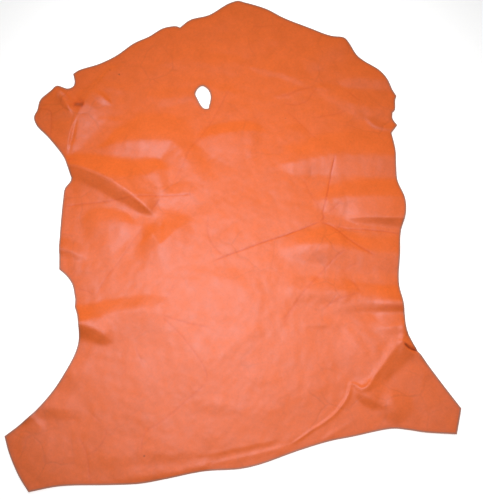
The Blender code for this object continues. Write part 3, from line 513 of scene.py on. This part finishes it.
# Painted shade: where the leather is pinched together into a pocket or notch, its colour is darkened to stand for the
# shade there; and a few old spots show.
PinchShade = namedtuple("PinchShade", "name dark wide_mm path")
PINCH_SHADES = (
    PinchShade("leg_notch", 1.0, 2.2, ((291, -216), (299, -224), (307, -228), (316, -230))),
    PinchShade("foreleg_pocket", 0.95, 7.0, ((-305, 233), (-295, 232), (-284, 229))),
    PinchShade("flank_edge", 0.5, 2.4, ((-309, 121), (-303, 121), (-294, 120))),
    PinchShade("hip_edge", 0.4, 2.4, ((262, -154), (276, -153), (292, -155))),
)
Stain = namedtuple("Stain", "name x_mm y_mm radius_mm dark")
STAINS = (
    Stain("neck_spot", -222.0, 297.0, 1.7, 0.45),
    Stain("shoulder_spot", -240.0, 306.0, 2.4, 0.16),
    Stain("rump_spot", -148.0, -403.0, 1.8, 0.40),
    Stain("belly_spot", 96.0, 205.0, 1.4, 0.20),
)


def crease_shade(points):
    """How far each point's colour is darkened as painted shade in the creases and pinches, from 0 to 1."""
    shade = np.zeros(len(points))
    marks = [(c.path, c.width_mm * 0.75, min(0.5, 0.12 + c.depth_mm / 0.9), 14.0) for c in CREASES]
    marks += [(p.path, p.wide_mm, p.dark, 4.0) for p in PINCH_SHADES]
    for path, wide, dark, run_in in marks:
        near = near_path(points, path, wide * 3)
        if near.any():
            dist, _, travelled, total = nearest_on(points[near], np.array(through(path, 4.0)))
            ends = ease(np.minimum(travelled, total - travelled) / run_in + 0.3)
            shade[near] = np.maximum(shade[near], np.exp(-(dist / wide) ** 2) * dark * ends)
    return shade


def hide_mesh(name):
    rows = tuple(row for region in EDGE.values() for row in region)
    edge = closed_edge(rows, EDGE_STEP)
    hole = closed_edge(HOLE, EDGE_STEP * 0.8)
    centre = (edge.max(axis=0) + edge.min(axis=0)) / 2
    bm = bmesh.new()
    rim = bm.verts.layers.float.new("to_rim")
    # painted shade of the creases and pinches, one value per point
    painted_crease_shade = bm.verts.layers.float.new("painted_crease_shade")
    layers = []
    for side, calm, lines, creases in (("grain", GRAIN_STEP, GRAIN_ROWS, True),
                                       ("flesh", FLESH_STEP, FLESH_ROWS, False)):
        points = side_points(edge, hole, calm, lines, ROW_STEP if creases else 5.0, creases)
        flat, faces, loops = triangulate(edge, hole, points)
        to_edge = distance_to(flat, edge)
        height = underside(flat, to_edge)
        if side == "grain":
            height = height + THICKNESS + grain_detail(flat, to_edge)
        made = [bm.verts.new(((x - centre[0]) * MM, (y - centre[1]) * MM, z * MM))
                for (x, y), z in zip(flat, height)]
        for vertex, gap in zip(made, np.minimum(to_edge, distance_to(flat, hole))):
            vertex[rim] = gap
        if side == "grain":
            for vertex, dark in zip(made, crease_shade(flat)):
                vertex[painted_crease_shade] = dark
        for f in faces:
            corners = [made[i] for i in f]
            a, b, c = (v.co for v in corners)
            up = (b - a).cross(c - a).z > 0
            face = bm.faces.new(corners if up == (side == "grain") else corners[::-1])
            face.material_index = 0 if side == "grain" else 1
            face.smooth = True
        layers.append([[made[i] for i in loop] for loop in loops])
    for top, under in zip(*layers):
        for i in range(len(top)):
            j = (i + 1) % len(top)
            face = bm.faces.new((top[i], top[j], under[j], under[i]))
            face.material_index = 2
            face.smooth = True
    loose = [v for v in bm.verts if not v.link_faces]
    bmesh.ops.delete(bm, geom=loose, context="VERTS")
    bmesh.ops.recalc_face_normals(bm, faces=bm.faces)
    mesh = bpy.data.meshes.new(name)
    bm.to_mesh(mesh)
    bm.free()
    mesh.set_sharp_from_angle(angle=math.radians(60))
    return mesh


# Materials

def node(tree, kind, at, **values):
    made = tree.nodes.new(kind)
    made.location = at
    for key, value in values.items():
        if key in made.inputs:
            made.inputs[key].default_value = value
        else:
            setattr(made, key, value)
    return made


def grain_material():
    material = bpy.data.materials.new("grain_side")
    material.use_nodes = True
    tree = material.node_tree
    link = tree.links.new
    shader = tree.nodes["Principled BSDF"]
    shader.inputs["Metallic"].default_value = 0.0
    shader.inputs["Specular IOR Level"].default_value = 0.50
    shader.inputs["IOR"].default_value = 1.5
    shader.inputs["Specular Tint"].default_value = (1.0, 0.86, 1.0, 1)
    place = node(tree, "ShaderNodeTexCoord", (-1600, 0))
    # slow colour drift of the dye
    drift = node(tree, "ShaderNodeTexNoise", (-1300, 300), Scale=5.0, Detail=4.0, Roughness=0.55)
    link(place.outputs["Object"], drift.inputs["Vector"])
    cloud = node(tree, "ShaderNodeTexNoise", (-1300, 0), Scale=38.0, Detail=5.0, Roughness=0.6)
    link(place.outputs["Object"], cloud.inputs["Vector"])
    tone = node(tree, "ShaderNodeMix", (-1000, 200), data_type="RGBA")
    tone.inputs[6].default_value = (0.775, 0.134, 0.019, 1)
    tone.inputs[7].default_value = (0.815, 0.145, 0.023, 1)
    link(drift.outputs["Fac"], tone.inputs[0])
    mottle = node(tree, "ShaderNodeMapRange", (-1000, 0))
    mottle.inputs["From Min"].default_value = 0.3
    mottle.inputs["From Max"].default_value = 0.7
    mottle.inputs["To Min"].default_value = 0.95
    mottle.inputs["To Max"].default_value = 1.045
    link(cloud.outputs["Fac"], mottle.inputs["Value"])
    # finer speckle from the hair pores
    speck = node(tree, "ShaderNodeTexNoise", (-1300, 600), Scale=240.0, Detail=4.0, Roughness=0.7)
    link(place.outputs["Object"], speck.inputs["Vector"])
    fleck = node(tree, "ShaderNodeMapRange", (-1000, 450))
    fleck.inputs["From Min"].default_value = 0.3
    fleck.inputs["From Max"].default_value = 0.7
    fleck.inputs["To Min"].default_value = 0.94
    fleck.inputs["To Max"].default_value = 1.06
    link(speck.outputs["Fac"], fleck.inputs["Value"])
    # painted shade: the colour darkens a little towards the cut edge, and the rim itself is a dark brown ring, partly
    # the cut edge's own colour and partly painted contact shadow
    gap = node(tree, "ShaderNodeAttribute", (-1300, 900), attribute_name="to_rim")
    # painted shade towards the cut edge, down to 0.82 at the rim
    near = node(tree, "ShaderNodeMapRange", (-1000, 700))
    near.inputs["From Min"].default_value = 0.5
    near.inputs["From Max"].default_value = 8.0
    near.inputs["To Min"].default_value = 0.82
    near.inputs["To Max"].default_value = 1.0
    link(gap.outputs["Fac"], near.inputs["Value"])
    level = node(tree, "ShaderNodeMath", (-860, 400), operation="MULTIPLY")
    link(mottle.outputs["Result"], level.inputs[0])
    link(fleck.outputs["Result"], level.inputs[1])
    level_edge_shade = node(tree, "ShaderNodeMath", (-800, 550), operation="MULTIPLY")
    link(level.outputs["Value"], level_edge_shade.inputs[0])
    link(near.outputs["Result"], level_edge_shade.inputs[1])
    # painted shade: the creases and pinches darken the colour, green and blue more than red
    crease_shade_in = node(tree, "ShaderNodeAttribute", (-1300, 1150), attribute_name="painted_crease_shade")
    crease_shade_ramp = node(tree, "ShaderNodeValToRGB", (-1000, 1150))
    stops = crease_shade_ramp.color_ramp.elements
    stops[0].position, stops[0].color = 0.0, (1.0, 1.0, 1.0, 1)
    stops[1].position, stops[1].color = 1.0, (0.50, 0.42, 0.36, 1)
    middle = stops.new(0.45)
    middle.color = (0.89, 0.77, 0.74, 1)
    link(crease_shade_in.outputs["Fac"], crease_shade_ramp.inputs["Fac"])
    total = level_edge_shade
    # faint wrinkles of the skin: a bent net of lines, of which only parts show
    bend = node(tree, "ShaderNodeTexNoise", (-2100, -900), Scale=14.0, Detail=2.0, Roughness=0.5)
    link(place.outputs["Object"], bend.inputs["Vector"])
    shift = node(tree, "ShaderNodeVectorMath", (-1900, -900), operation="SCALE")
    shift.inputs["Scale"].default_value = 0.05
    link(bend.outputs["Color"], shift.inputs[0])
    bent = node(tree, "ShaderNodeVectorMath", (-1700, -900), operation="ADD")
    link(place.outputs["Object"], bent.inputs[0])
    link(shift.outputs["Vector"], bent.inputs[1])
    net = node(tree, "ShaderNodeTexVoronoi", (-1500, -900), feature="DISTANCE_TO_EDGE",
               Scale=17.0, Randomness=1.0)
    link(bent.outputs["Vector"], net.inputs["Vector"])
    thread = node(tree, "ShaderNodeMapRange", (-1300, -900))
    thread.inputs["From Max"].default_value = 0.045
    thread.inputs["To Min"].default_value = 1.0
    thread.inputs["To Max"].default_value = 0.0
    link(net.outputs["Distance"], thread.inputs["Value"])
    part = node(tree, "ShaderNodeTexNoise", (-1500, -1150), Scale=8.0, Detail=2.0, Roughness=0.5)
    link(place.outputs["Object"], part.inputs["Vector"])
    shown = node(tree, "ShaderNodeMapRange", (-1300, -1150))
    shown.inputs["From Min"].default_value = 0.48
    shown.inputs["From Max"].default_value = 0.66
    link(part.outputs["Fac"], shown.inputs["Value"])
    wrinkle = node(tree, "ShaderNodeMath", (-1100, -1000), operation="MULTIPLY")
    link(thread.outputs["Result"], wrinkle.inputs[0])
    link(shown.outputs["Result"], wrinkle.inputs[1])
    # painted shade: the wrinkle lines darken the colour by up to a tenth
    wrinkle_shade = node(tree, "ShaderNodeMapRange", (-900, -1000))
    wrinkle_shade.inputs["To Min"].default_value = 1.0
    wrinkle_shade.inputs["To Max"].default_value = 0.90
    link(wrinkle.outputs["Value"], wrinkle_shade.inputs["Value"])
    with_wrinkle_shade = node(tree, "ShaderNodeMath", (-700, 1300), operation="MULTIPLY")
    link(total.outputs["Value"], with_wrinkle_shade.inputs[0])
    link(wrinkle_shade.outputs["Result"], with_wrinkle_shade.inputs[1])
    total = with_wrinkle_shade
    flat = node(tree, "ShaderNodeVectorMath", (-1500, 1400), operation="MULTIPLY")
    flat.inputs[1].default_value = (1.0, 1.0, 0.0)
    link(place.outputs["Object"], flat.inputs[0])
    for i, stain in enumerate(STAINS):
        away = node(tree, "ShaderNodeVectorMath", (-1300, 1400 + 200 * i), operation="DISTANCE")
        away.inputs[1].default_value = (stain.x_mm * MM, stain.y_mm * MM, 0.0)
        link(flat.outputs["Vector"], away.inputs[0])
        spot = node(tree, "ShaderNodeMapRange", (-1000, 1400 + 200 * i), interpolation_type="SMOOTHSTEP")
        spot.inputs["From Min"].default_value = stain.radius_mm * 0.4 * MM
        spot.inputs["From Max"].default_value = stain.radius_mm * 1.4 * MM
        spot.inputs["To Min"].default_value = 1.0 - stain.dark
        spot.inputs["To Max"].default_value = 1.0
        link(away.outputs["Value"], spot.inputs["Value"])
        darker = node(tree, "ShaderNodeMath", (-760, 1400 + 200 * i), operation="MULTIPLY")
        link(total.outputs["Value"], darker.inputs[0])
        link(spot.outputs["Result"], darker.inputs[1])
        total = darker
    shade = node(tree, "ShaderNodeVectorMath", (-760, 150), operation="SCALE")
    link(tone.outputs[2], shade.inputs[0])
    link(total.outputs["Value"], shade.inputs["Scale"])
    # the painted crease shade multiplied into the colour
    with_crease_shade = node(tree, "ShaderNodeVectorMath", (-600, 150), operation="MULTIPLY")
    link(shade.outputs["Vector"], with_crease_shade.inputs[0])
    link(crease_shade_ramp.outputs["Color"], with_crease_shade.inputs[1])
    # the dark brown rim ring: partly the cut edge seen from above, partly painted contact shadow
    rim_ring_and_shade = node(tree, "ShaderNodeMapRange", (-760, 800))
    rim_ring_and_shade.inputs["From Min"].default_value = 1.8
    rim_ring_and_shade.inputs["From Max"].default_value = 3.2
    rim_ring_and_shade.inputs["To Min"].default_value = 1.0
    rim_ring_and_shade.inputs["To Max"].default_value = 0.0
    link(gap.outputs["Fac"], rim_ring_and_shade.inputs["Value"])
    final = node(tree, "ShaderNodeMix", (-500, 300), data_type="RGBA")
    final.inputs[7].default_value = (0.41, 0.155, 0.090, 1)
    link(rim_ring_and_shade.outputs["Result"], final.inputs[0])
    link(with_crease_shade.outputs["Vector"], final.inputs[6])
    link(final.outputs[2], shader.inputs["Base Color"])
    # pebbled grain
    pebble = node(tree, "ShaderNodeTexVoronoi", (-1300, -300), Scale=900.0, Randomness=1.0)
    link(place.outputs["Object"], pebble.inputs["Vector"])
    pore = node(tree, "ShaderNodeTexNoise", (-1300, -600), Scale=420.0, Detail=3.0, Roughness=0.6)
    link(place.outputs["Object"], pore.inputs["Vector"])
    both = node(tree, "ShaderNodeMath", (-1000, -400), operation="ADD")
    link(pebble.outputs["Distance"], both.inputs[0])
    link(pore.outputs["Fac"], both.inputs[1])
    bump = node(tree, "ShaderNodeBump", (-700, -400))
    bump.inputs["Strength"].default_value = 0.22
    bump.inputs["Distance"].default_value = 0.00025
    deep = node(tree, "ShaderNodeMath", (-850, -600), operation="MULTIPLY_ADD")
    deep.inputs[1].default_value = -1.2
    link(wrinkle.outputs["Value"], deep.inputs[0])
    link(both.outputs["Value"], deep.inputs[2])
    # and the slight unevenness of a skin's thickness, 5 to 10 mm across
    lumps = node(tree, "ShaderNodeTexNoise", (-1300, -1400), Scale=105.0, Detail=2.0, Roughness=0.5)
    link(place.outputs["Object"], lumps.inputs["Vector"])
    uneven = node(tree, "ShaderNodeMath", (-700, -700), operation="MULTIPLY_ADD")
    uneven.inputs[1].default_value = 3.0
    link(lumps.outputs["Fac"], uneven.inputs[0])
    link(deep.outputs["Value"], uneven.inputs[2])
    link(uneven.outputs["Value"], bump.inputs["Height"])
    link(bump.outputs["Normal"], shader.inputs["Normal"])
    gloss = node(tree, "ShaderNodeMapRange", (-1000, -150))
    gloss.inputs["From Min"].default_value = 0.3
    gloss.inputs["From Max"].default_value = 0.7
    gloss.inputs["To Min"].default_value = 0.385
    gloss.inputs["To Max"].default_value = 0.455
    link(cloud.outputs["Fac"], gloss.inputs["Value"])
    link(gloss.outputs["Result"], shader.inputs["Roughness"])
    return material


def flesh_material():
    material = bpy.data.materials.new("flesh_side")
    material.use_nodes = True
    tree = material.node_tree
    link = tree.links.new
    shader = tree.nodes["Principled BSDF"]
    shader.inputs["Roughness"].default_value = 0.95
    shader.inputs["Specular IOR Level"].default_value = 0.2
    shader.inputs["Sheen Weight"].default_value = 0.35
    shader.inputs["Sheen Roughness"].default_value = 0.5
    place = node(tree, "ShaderNodeTexCoord", (-1400, 0))
    nap = node(tree, "ShaderNodeTexNoise", (-1100, 200), Scale=60.0, Detail=8.0, Roughness=0.7)
    link(place.outputs["Object"], nap.inputs["Vector"])
    tone = node(tree, "ShaderNodeMix", (-800, 150), data_type="RGBA")
    tone.inputs[6].default_value = (0.42, 0.150, 0.068, 1)
    tone.inputs[7].default_value = (0.62, 0.270, 0.140, 1)
    link(nap.outputs["Fac"], tone.inputs[0])
    link(tone.outputs[2], shader.inputs["Base Color"])
    fibre = node(tree, "ShaderNodeTexNoise", (-1100, -250), Scale=900.0, Detail=6.0, Roughness=0.75)
    link(place.outputs["Object"], fibre.inputs["Vector"])
    bump = node(tree, "ShaderNodeBump", (-700, -300))
    bump.inputs["Strength"].default_value = 0.7
    bump.inputs["Distance"].default_value = 0.0004
    link(fibre.outputs["Fac"], bump.inputs["Height"])
    link(bump.outputs["Normal"], shader.inputs["Normal"])
    return material


def edge_material():
    material = bpy.data.materials.new("cut_edge")
    material.use_nodes = True
    tree = material.node_tree
    link = tree.links.new
    shader = tree.nodes["Principled BSDF"]
    shader.inputs["Roughness"].default_value = 0.85
    shader.inputs["Specular IOR Level"].default_value = 0.3
    place = node(tree, "ShaderNodeTexCoord", (-1200, 0))
    fibre = node(tree, "ShaderNodeTexNoise", (-1000, 0), Scale=700.0, Detail=5.0, Roughness=0.7)
    link(place.outputs["Object"], fibre.inputs["Vector"])
    tone = node(tree, "ShaderNodeMix", (-700, 100), data_type="RGBA")
    tone.inputs[6].default_value = (0.32, 0.120, 0.062, 1)
    tone.inputs[7].default_value = (0.58, 0.250, 0.140, 1)
    link(fibre.outputs["Fac"], tone.inputs[0])
    link(tone.outputs[2], shader.inputs["Base Color"])
    bump = node(tree, "ShaderNodeBump", (-500, -200))
    bump.inputs["Strength"].default_value = 0.5
    bump.inputs["Distance"].default_value = 0.0002
    link(fibre.outputs["Fac"], bump.inputs["Height"])
    link(bump.outputs["Normal"], shader.inputs["Normal"])
    return material


# Camera first, then the floor and the lights

def camera():
    data = bpy.data.cameras.new("camera")
    data.sensor_width = 36.0
    data.lens = 46.8
    data.clip_start = 0.01
    made = bpy.data.objects.new("camera", data)
    made.location = (0.0128, -0.3393, 1.128)
    made.rotation_euler = (math.radians(14.35), 0.0, 0.0)
    bpy.context.scene.collection.objects.link(made)
    bpy.context.scene.camera = made


def floor():
    mesh = bpy.data.meshes.new("floor")
    bm = bmesh.new()
    bmesh.ops.create_grid(bm, x_segments=1, y_segments=1, size=14.0)
    bm.to_mesh(mesh)
    bm.free()
    made = bpy.data.objects.new("floor", mesh)
    made.location = (0, 0, -0.0004)
    bpy.context.scene.collection.objects.link(made)
    material = bpy.data.materials.new("floor_white")
    material.use_nodes = True
    shader = material.node_tree.nodes["Principled BSDF"]
    shader.inputs["Base Color"].default_value = (0.86, 0.86, 0.86, 1)
    shader.inputs["Emission Color"].default_value = (1.0, 1.0, 1.0, 1)
    shader.inputs["Emission Strength"].default_value = 0.52
    shader.inputs["Roughness"].default_value = 0.9
    shader.inputs["Specular IOR Level"].default_value = 0.1
    mesh.materials.append(material)


def backdrop():
    """A pale studio wall all round, far off; it is seen but gives no light."""
    mesh = bpy.data.meshes.new("backdrop")
    bm = bmesh.new()
    bmesh.ops.create_uvsphere(bm, u_segments=48, v_segments=24, radius=12.0)
    bm.to_mesh(mesh)
    bm.free()
    made = bpy.data.objects.new("backdrop", mesh)
    bpy.context.scene.collection.objects.link(made)
    made.visible_diffuse = False
    made.visible_glossy = False
    made.visible_transmission = False
    made.visible_volume_scatter = False
    made.visible_shadow = False
    material = bpy.data.materials.new("backdrop_pale")
    material.use_nodes = True
    shader = material.node_tree.nodes["Principled BSDF"]
    shader.inputs["Base Color"].default_value = (0.0, 0.0, 0.0, 1)
    shader.inputs["Specular IOR Level"].default_value = 0.0
    shader.inputs["Emission Color"].default_value = (0.80, 0.81, 0.82, 1)
    shader.inputs["Emission Strength"].default_value = 0.85
    mesh.materials.append(material)


def area_light(name, place, aim, size, watts, colour, shines):
    """A broad light; one that doesn't shine gives no reflection of its own."""
    data = bpy.data.lights.new(name, "AREA")
    data.shape = "RECTANGLE"
    data.size, data.size_y = size
    data.energy = watts
    data.color = colour
    made = bpy.data.objects.new(name, data)
    made.location = place
    made.rotation_euler = (Vector(aim) - Vector(place)).to_track_quat("-Z", "Y").to_euler()
    made.visible_glossy = shines
    bpy.context.scene.collection.objects.link(made)


def spot_light(name, place, aim, watts, radius, cone_deg, shines):
    data = bpy.data.lights.new(name, "SPOT")
    data.energy = watts
    data.shadow_soft_size = radius
    data.spot_size = math.radians(cone_deg)
    data.spot_blend = 1.0
    made = bpy.data.objects.new(name, data)
    made.location = place
    made.rotation_euler = (Vector(aim) - Vector(place)).to_track_quat("-Z", "Y").to_euler()
    made.visible_glossy = shines
    bpy.context.scene.collection.objects.link(made)


def lights():
    spot_light("lamp", (-0.20, 0.19, 2.2), (0.03, -0.01, 0.0), 95, 0.22, 40, True)
    spot_light("window", (-0.15, 2.4, 1.55), (0.0, -0.34, 0.0), 225, 0.30, 26, False)
    area_light("ceiling", (0.05, -0.30, 2.3), (0.05, -0.30, 0.0), (2.7, 1.5), 14.5, (1.0, 0.99, 0.98), True)
    world = bpy.data.worlds.new("room")
    world.use_nodes = True
    world.node_tree.nodes["Background"].inputs["Color"].default_value = (1.0, 1.0, 1.0, 1)
    world.node_tree.nodes["Background"].inputs["Strength"].default_value = 0.12
    bpy.context.scene.world = world


camera()
hide = bpy.data.objects.new("leather_hide", hide_mesh("leather_hide"))
bpy.context.scene.collection.objects.link(hide)
for material in (grain_material(), flesh_material(), edge_material()):
    hide.data.materials.append(material)
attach(hide, "root")
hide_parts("hide")
floor()
backdrop()
lights()
bpy.context.scene.view_settings.view_transform = "Standard"
print("triangles", sum(len(p.vertices) - 2 for p in hide.data.polygons))
